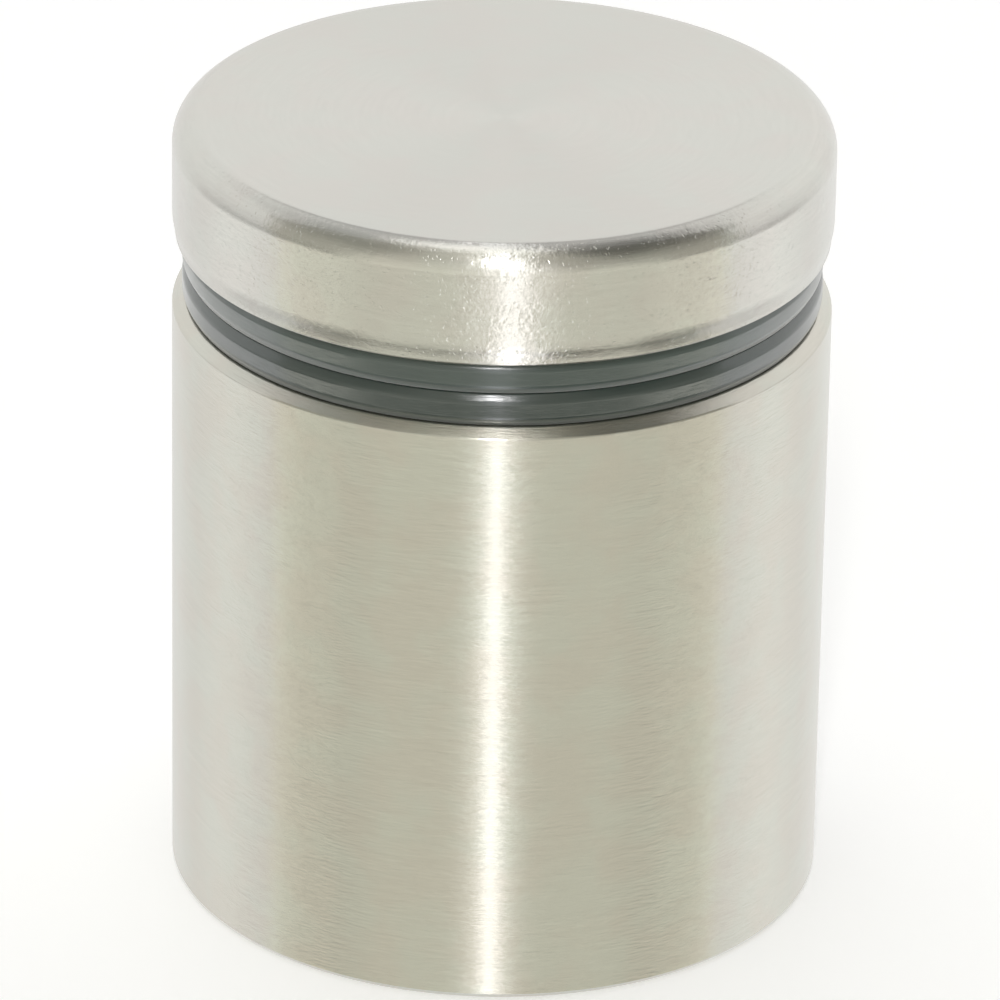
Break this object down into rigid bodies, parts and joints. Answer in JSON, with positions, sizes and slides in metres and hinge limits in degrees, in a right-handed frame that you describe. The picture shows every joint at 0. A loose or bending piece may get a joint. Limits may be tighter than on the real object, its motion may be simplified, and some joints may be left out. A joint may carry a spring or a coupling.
{
  "type": "glass panel standoff",
  "caption": "Round stainless steel standoff that clamps a drilled glass panel between rubber gaskets, with a screw-on cap over a cylindrical spacer.",
  "frame": {"origin": "centre of the spacer's wall face, on its axis", "axes": "+Z along the axis from the wall face out to the cap; +X and +Y are any two directions square to it, since every solid but the hexagon socket is turned about Z"},
  "size_m": [0.05, 0.05, 0.0618],
  "materials": {
    "brushed_steel": "satin brushed stainless steel, lines running round the axis on the sides and in circles on the cap's flat top",
    "gasket_rubber": "dark grey-green moulded rubber with a low sheen",
    "sleeve_plastic": "natural off-white nylon, matt",
    "stud_steel": "plain machined stainless steel with a rolled thread"
  },
  "bodies": {
    "spacer": {"spacer_body": "brushed_steel", "body_gasket": "gasket_rubber"},
    "clamp_stack": {"cap_gasket": "gasket_rubber", "stud_sleeve": "sleeve_plastic"},
    "cap": {"clamp_cap": "brushed_steel", "cap_stud": "stud_steel"}
  },
  "joints": [
    {"name": "clamp_travel", "type": "slide", "parent": "spacer", "child": "clamp_stack", "axis": [0, 0, 1], "range_m": [0, 0.02]},
    {"name": "cap_turn", "type": "hinge", "parent": "clamp_stack", "child": "cap", "pos_m": [0, 0, 0.0526], "axis": [0, 0, 1], "range_deg": [0, 4800]}
  ],
  "couplings": [
    {"joint": "clamp_travel", "follows": "cap_turn", "m_per_rad": 0.00023873}
  ]
}
